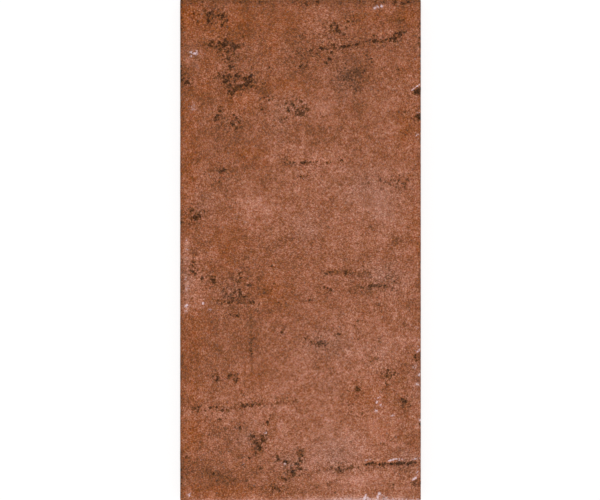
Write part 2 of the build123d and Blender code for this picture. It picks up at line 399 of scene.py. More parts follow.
        (80, 451.5, 1.2), (120.5, 456, 1.5), (109.5, 462.5, 1.1), (235.5, 463, 1.2), (63, 464.9, 1.2),
        (110.5, 467, 1.3), (167.2, 469.3, 1.5), (156.3, 470.2, 1.7), (115.5, 474, 1.2), (239.5, 478.5, 1.2),
        (1, 484, 1.2), (136.3, 487.5, 1.3), (172, 498.5, 1),
    ],
    5: [
        (196, 1.5, 1.2), (180, 1.7, 1.5), (60, 2, 1.2), (14, 2.2, 1.2), (23, 2.2, 1.3), (79.5, 2.5, 1.5),
        (222, 2.5, 1.4), (125.4, 3.5, 2.2), (223, 5, 1.6), (44, 13.5, 1.5), (14, 14, 1.6), (35, 16, 1.5),
        (46.8, 16, 1.4), (173.5, 16.3, 1.6), (32.5, 18.5, 1.4), (45.5, 20.3, 1.2), (18, 21.4, 1.4),
        (43.8, 22.8, 1.4), (32, 23.7, 1.4), (240, 28.5, 1), (80.4, 29.5, 1), (147.3, 32.2, 1),
        (165.5, 34.3, 1.3), (202.6, 34.5, 1.1), (122.5, 35, 1.4), (79.5, 36.2, 1), (207.5, 38.8, 1.3),
        (222.1, 41.4, 1.3), (198, 41.8, 1.2), (183.3, 44.8, 1.1), (50.5, 45.3, 1.8), (240, 46.5, 1),
        (144, 47.5, 1), (51, 49, 1.4), (188.6, 49, 1), (146, 49.5, 1.2), (38.2, 52, 1.3), (138.2, 53, 2.5),
        (52.5, 55, 1.6), (240.5, 56, 1), (57.8, 57.5, 1.5), (191.6, 58.6, 1.1), (43.5, 59.5, 1.6),
        (240.5, 60, 1), (52.3, 61, 1.3), (122.5, 64.3, 1.3), (38.3, 73.5, 1.2), (61, 75, 1.2),
        (25.5, 76.5, 1.1), (35.3, 77.5, 1.3), (3.8, 78.3, 1.2), (76.5, 88.7, 1.5), (81.4, 89, 1.8),
        (87.5, 96.3, 1.5), (84.2, 98.1, 1.2), (93.3, 98.7, 1.3), (107, 100.5, 1.4), (126.6, 104.5, 1.5),
        (57.9, 105, 1.3), (40, 107, 1.1), (100.4, 107.1, 1.1), (114.3, 108, 1.4), (74.8, 108.3, 1.4),
        (119.5, 116, 1.4), (142.4, 116.6, 1.3), (53.5, 116.8, 1), (224.5, 117, 1.5), (60, 117.4, 1.2),
        (106.5, 117.5, 1.5), (33.2, 120.6, 1.3), (47, 171.3, 1.2), (24.1, 174.4, 1.3), (219, 175, 1),
        (52, 175.4, 1.2), (207, 176.5, 1.1), (187.5, 178, 1), (213, 178.6, 1), (13.8, 180.8, 1.2),
        (200.5, 181.3, 1), (222.5, 183, 1), (31.7, 185.3, 1.5), (218, 187, 1), (16.5, 188, 1),
        (226, 189, 1), (13.7, 195.3, 1), (10, 212, 1.3), (145.4, 259.7, 1.2), (10.5, 265, 1.2),
        (183.3, 266.7, 1.4), (171.3, 269.2, 1.3), (52.5, 278.4, 1.4), (60, 280, 1), (94.3, 283.8, 1.3),
        (194.8, 285.3, 1.6), (197.3, 285.5, 1.3), (201.2, 286, 1.3), (178.4, 286.5, 1.3),
        (183.5, 287.5, 1.2), (90.7, 290.3, 1.2), (214.1, 294.8, 1.2), (44, 297.5, 1.2), (67.5, 299.5, 1.3),
        (38.2, 300, 1.5), (52.5, 301, 1.3), (45, 301.3, 1.4), (99.3, 303.3, 1.1), (57, 304.5, 1.2),
        (228, 305.5, 1.5), (49.3, 314.5, 1.7), (176.6, 336.6, 1.3), (125.5, 338.5, 1.5),
        (138.3, 343.2, 1.5), (133, 343.3, 1.3), (143.5, 343.5, 1.5), (135.5, 344.3, 1.5),
        (145.5, 345.5, 1.4), (196, 357.2, 1.4), (30.5, 357.4, 1.2), (198, 358.4, 1.3), (195, 359, 1.5),
        (193, 360.6, 1.5), (191, 361.8, 1.6), (213.5, 369.5, 1), (210, 373, 1), (37.7, 377, 0.9),
        (54.8, 380.5, 0.9), (209.5, 385.5, 0.9), (205.5, 388.8, 1.2), (174.2, 392.4, 1.2),
        (115.7, 400, 1.2), (107.5, 400.7, 1.2), (220, 401.5, 1.5), (77, 403.5, 1.2), (92, 404.2, 1.3),
        (64, 407.5, 1.2), (36, 409.7, 1.1), (27.1, 417, 1.3), (160.6, 421.5, 1.2), (55.5, 425.6, 1.4),
        (47.4, 428.5, 1.6), (93, 430, 1), (57, 439.3, 1.2), (212.1, 439.7, 1.4), (171.5, 441.6, 1.3),
        (72, 446.5, 1.4), (44, 453.5, 1.2), (73, 453.9, 1.3), (68.5, 456, 0.9), (57.8, 456.5, 1.6),
        (177.3, 458.8, 1.3), (122.5, 462, 1.2), (14.5, 462.5, 1.2), (111.5, 463.5, 1), (105.8, 466, 1),
        (177.9, 467, 1.6), (152, 467.5, 1.9), (173, 467.5, 1.1), (12, 471, 1.3), (157.3, 471.8, 1.2),
        (122, 474, 1.4), (111, 478, 1), (66.6, 480.8, 1.5), (147.6, 483.9, 1.3), (93, 486.8, 1.4),
        (95.5, 488.2, 1.3), (155, 492, 1.3),
    ],
    4: [
        (150.5, 162.3, 1.5), (119.7, 163.3, 1.3), (127, 176.3, 1.3), (140.9, 177, 1.5), (153.4, 272.2, 1.6),
        (146.8, 273, 1.6), (169.5, 273.3, 1.4), (171.5, 273.8, 1.6), (111.5, 401.2, 1.1), (82, 401.5, 1.1),
        (70, 404, 1.1), (94.5, 404, 1.1), (57, 404.5, 1.3), (87, 405, 1.1), (14.3, 406.5, 1.2),
        (55, 406.5, 1.3), (40.5, 407, 1.1), (60, 408.5, 1.1), (16.8, 409.5, 1.1), (30.5, 409.5, 1.1),
        (50, 410, 1.1), (12, 412.5, 1.3),
    ],
    3: [
        (102.3, 160.3, 1.4), (153, 161.5, 1.3), (145.5, 162.2, 1.3), (142.9, 162.4, 1.4), (110.7, 163, 1.9),
        (112, 165.8, 1.3), (139.5, 173.3, 1.1), (138, 174.3, 1.3), (123.8, 175, 1.3), (130.5, 176, 1.4),
        (166, 270.5, 1.1), (178.8, 271.1, 1.7), (143.2, 271.2, 1.3), (180, 272.2, 1.3), (161.3, 272.5, 1.4),
        (163.3, 274.5, 1.3), (170.3, 275.3, 1.1), (179.6, 276.4, 1.7),
    ],
}
least_core = 0.5
core_share = 0.8
rim_share = 2.0
core_over_rim = 1.3
halo_share = 3.8
halo_density = 0.5

char = np.zeros(count)
rim = np.zeros(count)
for tenths, grains in burnt_grains.items():
    for *middle, radius in grains:
        core = least_core + core_share * radius
        edge = rim_share * core
        halo = halo_share * radius
        char = np.maximum(char, tenths / 10 * spot_falloff(*middle, core, core))
        rim = np.maximum(rim, tenths / 10 * spot_falloff(*middle, edge, edge))
        scorch = np.maximum(scorch, halo_density * tenths / 10 * spot_falloff(*middle, halo, halo))
rim = np.clip(rim - core_over_rim * char, 0, 1)
print(f"{sum(len(grains) for grains in burnt_grains.values())} burnt grains")

# %% [markdown]
# ## Furrows
# Long shallow furrows run across the face, as if grit had been dragged over the soft clay. The deeper ones
# are in the CAD solid too. Each has two ends, a reach to both sides and a depth in millimetres, and wanders a
# little. They are darkened in dashes and not in one even line, partly by scorch that collects in them and
# partly by painted shade in the furrow, so the dashes are strokes of their own.

# %% Furrows with their depth, and the scorch and painted shade that lie in them
furrows = [
    (135, 50, 226, 31, 2.2, 0.3), (103, 163, 154, 162, 1.8, 0.28), (142, 271.5, 192, 275.5, 1.8, 0.22),
    (177, 286.5, 217, 283, 2, 0.25), (13, 409, 80, 404, 2, 0.28), (80, 404, 120, 400, 1.5, 0.15),
    (138, 470.5, 172, 468, 1.8, 0.25), (184, 464.5, 237, 461.5, 2, 0.4),
]
# Dashes of dark in the furrows: partly scorch, partly painted shade in the furrow
furrow_scorch_and_shade = [
    (139, 49, 151, 46.5, 1.6, 0.6), (158, 47, 178, 44.5, 1.5, 0.72), (186, 42, 192, 40.5, 1.4, 0.5),
    (196, 41, 207, 40, 1.8, 0.6), (208, 39.5, 220, 34, 2.6, 0.8), (220, 33.5, 226, 31.5, 1.8, 0.5),
    (105, 163, 112, 163, 1.4, 0.6), (120, 162.8, 125, 162.6, 1.8, 0.92), (127, 162.2, 137, 162, 1.6, 0.75),
    (141, 162.2, 149, 162.6, 1.5, 0.7), (149, 162.6, 154, 161.4, 1.2, 0.6),
    (120, 175.6, 124, 175.4, 1.4, 0.75), (126, 175.6, 133, 175, 1.2, 0.45), (13, 408, 20, 408, 2.4, 0.58),
    (22, 410.5, 25, 410.5, 1.5, 0.52), (31, 407, 37, 407, 2.2, 0.56), (40, 410.6, 49, 410, 1.5, 0.52),
    (50, 409, 58, 407, 1.2, 0.4), (60, 406, 73, 405, 2.2, 0.62), (77, 404, 81, 404, 1.6, 0.7),
    (91, 403.6, 99, 403, 1.3, 0.58), (107, 401.5, 119, 399.6, 1.2, 0.42),
    (139, 469.5, 156, 467.5, 2.2, 0.5), (156, 468, 161, 471, 2.2, 0.72),
    (164, 468.6, 179, 466.5, 1.5, 0.55), (185, 464, 196, 462.6, 1.7, 0.78),
    (199, 464.4, 207, 463.8, 1.4, 0.72), (207, 463.8, 223, 462.8, 1.7, 0.85),
    (70, 312, 70.5, 330, 1.2, 0.25), (70.5, 330, 71.5, 355, 1.2, 0.42), (226, 462.9, 236, 462, 1.7, 0.75),
    (10, 271, 16.5, 273.5, 1.5, 0.75),
]
dash_share = 0.6
wander_reach = 1.2
wander = wander_reach * ripple(7 * MM, 1)

crack = np.zeros(count)
for *stroke, density in furrow_scorch_and_shade:
    crack = np.maximum(crack, dash_share * density * stroke_falloff(*stroke))
sunk = np.zeros(count)
for *ends, reach, depth in furrows:
    along, aside, length = along_and_aside(*ends)
    running = np.clip(4 * along * (1 - along), 0, 1) ** 0.5
    sunk = np.maximum(sunk, depth * running * np.exp(-(((aside + wander) / reach) ** 2)))
print(f"{len(furrows)} furrows, the deepest {sunk.max():.2f} mm, with {len(furrow_scorch_and_shade)} dashes of scorch")

# %% [markdown]
# ## Stains and smears
# Stains are softer: the clay is darker or paler there, with no specks. They overlap and add up into one value,
# `tone`, in the 255 brightness steps of a screen. A perfectly round stain looks like a spray can, so the
# ruler is made wavy for them and every outline wobbles. Smears are thin, straight stains and need no wobble.

# %% Stains, darker or paler by so many brightness steps
stains = [
    (62.5, 25, 9, 8, -10), (217.5, 23, 9, 8, -8), (218, 239, 11, 4.5, -12), (173, 72.5, 9, 4, -22),
    (164.5, 78, 4.5, 4, -18), (176, 89.5, 3.5, 6, -14), (188.5, 63, 4.5, 3.5, -10),
    (220, 72, 3.5, 5.5, -10), (202.5, 153.5, 8, 4.5, -8), (194.5, 225.5, 5.5, 3.5, -12),
    (134, 222, 4.5, 2.5, -10), (60, 238, 7, 4.5, -10), (100, 241, 7, 4.5, -9), (188.5, 253, 7, 5, -12),
    (191, 293.5, 6, 4, -18), (231, 304.5, 7, 7, -10), (194, 359.2, 5, 3, -20), (209, 352.8, 4.5, 3.5, -7),
    (225, 405, 8, 6, -8), (57.5, 432, 6, 8, -10), (224.5, 470, 11, 5, -10), (231.5, 446.5, 6, 6, -8),
    (228, 122, 9, 10, -8), (150, 212, 50, 30, 7), (140, 420, 32, 45, 8), (18, 345, 24, 42, -5),
    (75, 22, 26, 24, -6), (35, 145, 34, 22, -6), (82, 14, 14, 8, -14), (36, 22, 8, 16, -8),
    (14, 35, 11, 13, -8), (55, 47, 12, 9, -11), (70, 58, 13, 8, -7), (20, 96, 15, 8, -12),
    (38, 75, 6, 10, -7), (60, 88, 13, 11, -7), (87, 87, 7, 8, -10), (32, 128, 10, 13, -8),
    (60, 130, 18, 11, -8), (50, 150, 5, 10, -7), (12, 174, 13, 4, -8), (37, 188, 8, 12, -9),
    (72, 175, 10, 6, -8), (100, 117, 9, 7, -8), (116, 45, 10, 20, -15), (136, 52, 14, 8, -13),
    (118, 67, 9, 9, -9), (180, 36, 15, 13, -14), (170, 55, 18, 16, -10), (187, 78, 11, 15, -10),
    (182, 103, 14, 9, -12), (150, 85, 15, 7, -6), (142, 135, 11, 9, -13), (172, 157, 6, 10, -6),
    (222, 22, 7, 7, -8), (225, 8, 13, 8, -8), (214, 66, 9, 5, -8), (155, 205, 9, 11, -8),
    (122, 200, 8, 7, -6), (110, 226, 10, 6, -9), (20, 213, 10, 6, -4), (40, 243, 11, 8, -7),
    (65, 242, 12, 5, -6), (85, 255, 14, 9, -9), (35, 252, 11, 5, -6), (48, 282, 10, 9, -7),
    (80, 288, 15, 9, -13), (62, 301, 10, 6, -10), (65, 321, 7, 7, -8), (60, 322, 13, 12, -5),
    (107, 274, 5, 4, -5), (110, 290, 12, 20, -5), (22, 330, 5, 4, -6), (50, 345, 21, 10, -9),
    (78, 340, 10, 11, -7), (65, 358, 6, 7, -6), (188, 315, 6, 7, -8), (10, 370, 11, 10, -7),
    (50, 380, 10, 7, -4), (120, 412, 11, 9, -7), (128, 428, 8, 9, -7), (178, 405, 6, 4, -6),
    (25, 447, 15, 7, -9), (47, 457, 6, 4, -6), (12, 465, 11, 9, -9), (35, 480, 19, 8, -8),
    (60, 485, 15, 9, -12), (68, 473, 8, 6, -6), (112, 475, 6, 8, -6), (97, 497, 6, 6, -10),
    (228, 385, 8, 6, -5), (20, 74, 5, 6, 6), (90, 36, 7, 6, 8), (110, 98, 8, 4, 6), (150, 106, 10, 8, 9),
    (135, 103, 14, 7, 5), (125, 119, 6, 5, 6), (210, 105, 10, 13, 7), (122, 163, 12, 13, 15),
    (148, 163, 13, 10, 14), (193, 148, 9, 9, 8), (218, 164, 10, 10, 9), (190, 167, 7, 8, 7),
    (75, 208, 19, 18, 18), (205, 210, 17, 22, 9), (207, 185, 13, 18, 7), (165, 228, 10, 6, 6),
    (117, 238, 6, 5, 6), (18, 197, 7, 6, 7), (12, 289, 8, 8, 15), (22, 303, 9, 11, 11),
    (203, 260, 11, 7, 9), (168, 299, 7, 7, 9), (210, 305, 11, 6, 9), (185, 265, 42, 17, 5),
    (210, 290, 14, 19, 5), (157, 322, 11, 6, 13), (173, 340, 10, 13, 13), (198, 342, 10, 9, 12),
    (190, 350, 17, 15, 6), (196, 366, 19, 10, 13), (225, 343, 11, 6, 8), (175, 382, 19, 9, 9),
    (115, 388, 9, 12, 13), (125, 366, 9, 11, 13), (110, 350, 19, 14, 5), (67, 397, 6, 7, 9),
    (25, 410, 6, 6, 8), (42, 415, 17, 5, 7), (95, 408, 13, 8, 12), (105, 425, 9, 13, 8),
    (82, 434, 12, 5, 8), (198, 410, 9, 15, 12), (190, 430, 24, 14, 11), (212, 440, 10, 13, 9),
    (150, 450, 13, 12, 12), (183, 450, 9, 15, 11), (132, 460, 8, 8, 12), (113, 450, 9, 7, 9),
    (188, 478, 19, 12, 20), (160, 482, 17, 7, 13), (145, 478, 15, 11, 6), (210, 478, 13, 10, 8),
    (97, 473, 7, 11, 7), (7, 245, 3, 6, 8), (6, 260, 3, 6, 6), (7, 283, 3, 8, 9), (7, 295, 3, 5, 7),
    (6, 308, 3, 7, 7), (16, 66, 3, 3, 7), (14, 108, 4, 4, 6), (180, 498, 60, 3, 9), (4, 75, 6, 12, -17),
    (44, 44, 18, 7, -5), (15, 215, 10, 9, -7), (60, 296, 22, 10, -5), (54, 84, 18, 12, -4),
    (87, 88, 9, 6, -5), (72, 10, 10, 6, -4), (40, 477, 20, 9, -3), (128, 162, 26, 4, 6),
    (35, 409, 25, 5, 4), (160, 468, 22, 6, 4), (211, 464, 27, 4, 4), (42, 12, 14, 7, -7),
    (82, 13, 10, 7, -4), (185, 9, 18, 6, -6), (225, 32, 10, 10, -6), (14, 52, 14, 8, -5),
    (40, 55, 18, 11, -4), (78, 60, 7, 8, -3), (140, 46, 18, 12, -5), (122, 73, 9, 9, -6),
    (146, 82, 9, 8, -4), (62, 84, 10, 8, -6), (22, 98, 14, 11, -5), (170, 101, 9, 9, -6),
    (181, 113, 9, 8, -4), (194, 76, 8, 15, -4), (46, 140, 10, 17, -4), (118, 144, 12, 6, -4),
    (146, 131, 12, 7, -3), (95, 170, 9, 10, -3), (70, 178, 9, 10, -3), (203, 188, 14, 13, -7),
    (152, 190, 13, 7, -4), (25, 212, 12, 9, -4), (82, 202, 12, 6, -3), (93, 240, 8, 8, -5),
    (72, 236, 13, 10, -5), (82, 255, 12, 7, -3), (190, 246, 14, 8, -4), (192, 273, 12, 7, -7),
    (52, 280, 12, 9, -4), (50, 307, 8, 7, -6), (66, 311, 17, 11, -4), (90, 336, 8, 15, -4),
    (43, 340, 8, 10, -3), (30, 372, 13, 10, -5), (98, 386, 9, 6, -4), (214, 417, 9, 7, -3),
    (115, 470, 9, 11, -9), (80, 470, 12, 11, -4), (147, 470, 8, 8, -6), (20, 475, 18, 10, -4),
    (9, 450, 8, 10, -5), (88, 38, 9, 8, 4), (200, 20, 7, 6, 4), (65, 108, 20, 6, 4), (95, 128, 14, 9, 4),
    (187, 147, 9, 11, 6), (150, 163, 10, 14, 7), (121, 177, 12, 9, 6), (226, 165, 10, 12, 5),
    (52, 210, 11, 9, 5), (105, 212, 13, 8, 3), (15, 234, 6, 12, 4), (215, 228, 18, 13, 4),
    (160, 252, 20, 14, 3), (150, 295, 20, 26, 3), (22, 308, 10, 9, 4), (122, 333, 10, 9, 6),
    (208, 335, 16, 10, 7), (222, 311, 14, 12, 5), (220, 350, 18, 8, 4), (126, 384, 10, 8, 5),
    (175, 375, 22, 10, 3), (25, 402, 18, 13, 4), (70, 396, 12, 18, 4), (93, 411, 12, 10, 6),
    (162, 417, 9, 11, 6), (105, 441, 11, 20, 4), (172, 452, 22, 11, 7), (213, 440, 12, 8, 6),
    (137, 486, 12, 6, 5), (222, 485, 14, 9, 7), (6, 81, 6, 7, -8), (87, 88, 8, 7, -4), (142, 135, 9, 8, -7),
    (220, 21, 8, 8, -6), (150, 85, 8, 7, -6), (202, 153, 8, 5, -5), (165, 95, 8, 7, -7), (30, 98, 8, 6, -4),
    (178, 315, 8, 8, 7),
]
brightness_step = 1 / 255
stain_strength = 1.2
wave_length = 5 * MM
wave_reach = 3.0
wavy_ruler = (across + wave_reach * ripple(wave_length, 6), down + wave_reach * ripple(wave_length, 7))


def sum_of_spots(zones, unit):
    """Add up soft spots with wavy outlines. The last number of each is its strength, in that unit."""
    total = np.zeros(count)
    for *spot, strength in zones:
        total += strength * unit * spot_falloff(*spot, wavy_ruler)
    return total


tone = sum_of_spots(stains, stain_strength * brightness_step)
print(f"{len(stains)} stains, tone {tone.min():.2f} to {tone.max():.2f}")

# %% Smears, from one end to the other
# Several smears run along the furrows, near 162, 272, 285, 405 and 468 steps down, and darken them: partly
# stain, partly painted shade in the furrow
smears = [
    (70, 308, 71, 335, 1.5, -14), (71, 335, 72, 374, 1.5, -20), (36, 170, 56, 168.5, 2, -8),
    (100, 162.6, 156, 162, 1.6, -10), (142, 272.5, 165, 272, 1.8, -13), (30, 172, 60, 168, 2, -10),
    (60, 168, 105, 164, 1.5, -6), (158, 272, 188, 274, 2.6, -15), (36, 300, 62, 301, 2.6, -14),
    (126, 338, 139, 344, 2, -13), (10, 501, 241, 501, 2.6, 7), (110, 500.5, 241, 500, 3.4, 9),
    (236, 70, 236, 480, 3.5, 5), (139, 344, 149, 343, 2, -13), (178, 287, 206, 285.5, 2.2, -12),
    (12, 471, 40, 474, 2.8, -9), (40, 478, 56, 480, 3.6, -9), (88, 488, 104, 487, 3.6, -9),
    (204, 277, 216, 272, 2, -7), (166, 72, 180, 70.5, 2.6, -13), (161, 79, 168, 77.5, 2, -17),
    (170, 81, 173, 82.5, 1.6, -12), (175, 85, 176, 91, 2, -13), (164, 66, 165, 72, 1.4, -9),
    (187, 61, 191, 65, 2.2, -9), (139, 47, 148, 50, 2, -10), (129, 52, 132, 51, 1.8, -10),
    (126, 60.5, 131, 59.5, 1.6, -9), (175, 64, 176, 70, 1.4, -8), (71, 434, 77, 443, 1.8, -9),
    (86.5, 433, 81.5, 441, 2, -6), (78, 443, 80, 449, 2.2, -4), (79, 449, 75, 455, 2, -6),
    (60, 425, 60.5, 432, 1.5, -11), (46, 428, 52, 427, 2, -8), (144, 62, 148, 64, 1.5, -8),
    (212, 180, 220, 180, 2.2, -8), (222, 182, 226, 188, 2, -8), (150, 2, 236, 3, 3, -5),
    (140, 272, 192, 274, 3, -8), (178, 286, 216, 283, 4, -7), (14, 408, 118, 402, 3.5, -6),
    (140, 469, 180, 467, 3.5, -14), (18, 470, 58, 480, 6, -5), (108, 168, 120, 172, 5, -6),
    (128, 340, 150, 344, 4, -6), (84, 488, 104, 488, 4, -3),
]
for *stroke, steps in smears:
    tone += steps * brightness_step * stroke_falloff(*stroke)
print(f"{len(smears)} smears, tone now {tone.min():.2f} to {tone.max():.2f}")

# %% [markdown]
# ## Zones of other colour and grain
# Heat and ash reached the face unevenly. Some zones fired pinker and others more orange, and in some the sand
# stands out while others were rubbed smooth. These are wide, weak spots again. Each kind becomes one value,
# and a negative number means the opposite.

# %% Pinker or more orange
pink_zones = [
    (8, 14, 14, 16, -8), (60, 20, 16, 18, -5), (30, 32, 28, 18, -4), (100, 20, 30, 14, -4),
    (195, 18, 24, 12, -4), (228, 18, 10, 10, -7), (92, 45, 8, 14, -5), (25, 85, 12, 14, -5),
    (62, 100, 18, 12, -6), (105, 85, 20, 9, -5), (30, 60, 10, 10, -4), (226, 130, 13, 26, -5),
    (232, 70, 10, 14, -3), (70, 155, 20, 11, -4), (10, 170, 10, 24, -4), (47, 245, 20, 26, -4),
    (92, 290, 15, 22, -5), (15, 330, 15, 28, -4), (12, 390, 11, 14, -5), (12, 430, 13, 16, -7),
    (70, 380, 17, 11, -3), (192, 400, 22, 18, -4), (200, 430, 13, 9, -4), (40, 491, 45, 7, -6),
    (236, 230, 7, 28, -4), (14, 52, 7, 7, 4), (165, 80, 15, 19, 5), (108, 108, 13, 11, 4),
    (100, 130, 8, 13, 3), (188, 188, 27, 20, 6), (205, 212, 14, 18, 4), (128, 228, 15, 14, 5),
    (20, 205, 13, 13, 4), (3, 275, 7, 18, 5), (8, 122, 10, 28, -6), (8, 205, 9, 40, -4),
    (10, 360, 9, 25, -3), (9, 450, 9, 12, -3), (203, 277, 22, 14, 7), (148, 345, 26, 17, 6),
    (200, 352, 17, 12, 3), (50, 290, 11, 9, 4), (155, 455, 22, 19, 8), (112, 462, 15, 13, 6),
    (66, 438, 15, 11, 5), (225, 460, 14, 11, 6), (238, 380, 5, 22, 5), (150, 385, 11, 9, 3),
    (7, 245, 3, 6, 6), (6, 260, 3, 6, 5), (7, 283, 3, 8, 7), (7, 295, 3, 5, 5), (6, 308, 3, 7, 5),
    (16, 66, 3, 3, 5), (14, 108, 4, 4, 5), (180, 500, 70, 3.5, 13),
]
pink = sum_of_spots(pink_zones, brightness_step)
print(f"{len(pink_zones)} pink or orange zones, {pink.min() * 255:.0f} to {pink.max() * 255:.0f} steps")

# %% Sandier or smoother, in tenths
sandy_zones = [
    (25, 12, 14, 12, 2), (40, 45, 14, 12, 2), (60, 80, 22, 12, 2), (148, 40, 22, 18, 3),
    (165, 80, 13, 14, 2), (182, 98, 10, 8, 1), (235, 100, 9, 24, 2), (112, 108, 14, 12, 2),
    (110, 130, 20, 12, 1), (48, 118, 16, 14, 2), (128, 165, 18, 16, 2), (130, 225, 10, 20, 1),
    (48, 170, 12, 12, 1), (12, 215, 14, 10, 2), (14, 265, 15, 12, 3), (58, 292, 20, 18, 3),
    (90, 245, 30, 14, 1), (160, 272, 18, 10, 1), (195, 278, 26, 15, 3), (215, 240, 12, 14, 1),
    (136, 339, 14, 9, 2), (50, 376, 12, 10, 2), (205, 372, 12, 11, 2), (170, 386, 8, 10, 1),
    (28, 408, 24, 9, 2), (65, 402, 14, 12, 1), (225, 408, 12, 14, 1), (78, 438, 12, 10, 2),
    (112, 465, 14, 14, 3), (95, 490, 18, 9, 3), (160, 464, 24, 8, 2), (218, 464, 24, 10, 2),
    (12, 465, 20, 14, 1), (65, 20, 14, 12, -2), (104, 14, 14, 12, -3), (215, 62, 13, 9, -2),
    (108, 84, 18, 8, -2), (146, 106, 10, 12, -2), (198, 116, 20, 22, -2), (222, 164, 20, 10, -2),
    (72, 145, 14, 22, -2), (85, 200, 20, 24, -2), (20, 140, 20, 16, -2), (192, 203, 15, 9, -4),
    (222, 215, 12, 12, -2), (42, 240, 14, 16, -2), (110, 308, 12, 16, -2), (36, 340, 14, 16, -2),
    (80, 366, 18, 12, -3), (114, 354, 16, 12, -2), (205, 328, 14, 10, -1), (144, 418, 24, 22, -2),
    (195, 428, 16, 14, -2), (188, 480, 16, 7, -2), (4, 368, 8, 8, -2),
]
sandy = 1 + sum_of_spots(sandy_zones, 0.1)
print(f"{len(sandy_zones)} sandy or smooth zones, grain strength {sandy.min():.2f} to {sandy.max():.2f}")

# %% [markdown]
# ## Lime, and painted highlights on lips
# Pale lime has come out as crumbs near the edges and as a thin bloom along the near edge. The pale lips of
# chips and furrows are painted highlights where they face the light, partly lime. Crumbs are round and the rest
# are strokes; both only say how much lime and highlight there may be, and the material crumbles it with noise.

# %% Lime crumbs, painted highlights on the lips, and lime along the edges
lime_spots = [
    (11, 52.3, 1.2, 0.8), (11, 56, 1.2, 0.65), (15, 53.5, 1.8, 1), (16, 53, 3, 0.45), (16, 51, 1.5, 0.6),
    (17, 67, 2, 0.45), (14, 109.5, 3, 0.4), (12, 105, 5, 0.25), (195, 8, 2.2, 0.6), (201.7, 6.3, 1.8, 0.85),
    (198, 7.5, 2.5, 0.4), (6.6, 240, 1.6, 0.6), (6.5, 248.5, 2, 0.35), (7, 257, 1.8, 0.35),
    (4.5, 263, 1.5, 0.35), (5.8, 278.5, 1.8, 0.45), (7, 288, 2.5, 0.5), (7, 294, 1.8, 0.35),
    (6.6, 305.4, 2, 0.85), (5, 311, 2.2, 0.45), (23, 303.3, 1.8, 0.6), (30.6, 309.5, 2, 0.55),
    (200.5, 405, 1.5, 0.9), (197, 402.5, 1.5, 0.72), (196, 410.8, 3, 0.6), (200, 396.5, 1.4, 0.7),
    (197.5, 398, 1.4, 0.6), (194.5, 397.5, 1.4, 0.45), (203, 406, 1.3, 0.45), (212, 415.7, 2, 0.5),
    (235.5, 365.8, 1.8, 0.5), (240, 374, 1.6, 0.6), (236, 385.3, 2.2, 0.5), (240, 420, 1.8, 0.8),
    (238, 426, 1.5, 0.4), (104.4, 464, 1.6, 0.7), (113.6, 464.5, 1.6, 0.5), (21.5, 461, 2.5, 0.3),
    (62.7, 463.4, 2, 0.35), (10, 494.9, 2.5, 0.55), (86, 433, 1.5, 0.5), (237.7, 472, 2.5, 0.5),
    (237.5, 328, 1.5, 0.45), (238.5, 340, 1.5, 0.45), (237.5, 346, 1.6, 0.45), (234, 368, 2, 0.5),
    (239, 375, 1.6, 0.6), (237, 384, 2.2, 0.55), (240, 458.5, 1.8, 0.55), (9, 494.3, 2.2, 0.6),
]
# The strokes on the chips' lips and above the furrow near the near end are painted highlights, partly lime; the
# strokes along the near edge are lime bloom
lime_and_lit_lip_strokes = [
    (184, 459.8, 190.5, 459.6, 1.2, 0.5), (208, 461, 216, 458.6, 1.2, 0.6),
    (216, 458.6, 222, 459.4, 1.2, 0.6), (231.7, 459.3, 239, 458.8, 1.2, 0.45),
    (231.5, 90.5, 239.5, 85, 0.9, 0.66), (237, 113, 240, 112.5, 1, 0.5), (236, 135.5, 239, 133.8, 0.9, 0.6),
    (237, 352, 240, 349.5, 1.4, 0.55), (232.5, 479.5, 236, 478, 1.4, 0.66),
    (236.5, 476.5, 238.5, 474.5, 1.2, 0.5), (8, 500.5, 241, 500.5, 1.6, 0.34),
    (150, 500, 241, 500, 2.2, 0.42), (186, 494.5, 183.5, 500, 1.6, 0.7), (186.5, 496, 188, 500, 1.6, 0.55),
    (199, 493.5, 197, 499, 1.6, 0.66), (199.5, 493.5, 203, 496.5, 1.6, 0.55),
    (203, 496.5, 209, 500, 1.6, 0.5),
]
# This lime value holds the lime and also the painted highlights on the lips
lime = np.zeros(count)
for *middle, reach, strength in lime_spots:
    lime = np.maximum(lime, strength * spot_falloff(*middle, reach, reach))
for *stroke, strength in lime_and_lit_lip_strokes:
    lime = np.maximum(lime, strength * stroke_falloff(*stroke))
print(f"{len(lime_spots)} lime crumbs and {len(lime_and_lit_lip_strokes)} strokes of lime")

# %% [markdown]
# ## The relief
# The face of the real tile isn't flat: it falls away towards its edges, rolls gently, and is rough with sand.
# All of that is made by sinking vertices below the highest level, never by raising them, so the tile can't
# grow past its CAD size. A Displace modifier could sink one noise, but here several noises, the furrows and
# the scorched pits add up, and the margin has to know how far each vertex lies inside the outline.

# %% Measure how far each vertex lies inside the outline
gap_x = np.abs(place[:, 0]) - (half_width - corner_radius)
gap_y = np.abs(place[:, 1]) - (half_length - corner_radius)
outside = np.hypot(np.clip(gap_x, 0, None), np.clip(gap_y, 0, None))
depth_inside = corner_radius - outside - np.clip(np.maximum(gap_x, gap_y), None, 0)
on_grid = face_share == 1.0
print(f"{np.count_nonzero(on_grid)} vertices on the face, up to {depth_inside.max() / MM:.0f} mm inside")

# %% Sink the margin, the rolls, the crumbs, the pits and the furrows
margin_width = 4.0 * MM
margin_curve = 1.5
margin_least, margin_spread = 0.8, 0.4
swarm_depth = 0.036
pit_depth = 0.096
grain_depth = 0.10


def lumps(wavelength, seed):
    """The same noise as a ripple, but from about 0 to 1, so that it only ever sinks the surface."""
    return 0.5 + 0.5 * ripple(wavelength, seed)


roll = lumps(28 * MM, 2)
lump = lumps(8 * MM, 3)
crumb = lumps(2.4 * MM, 4)
sand = lumps(1.3 * MM, 5)

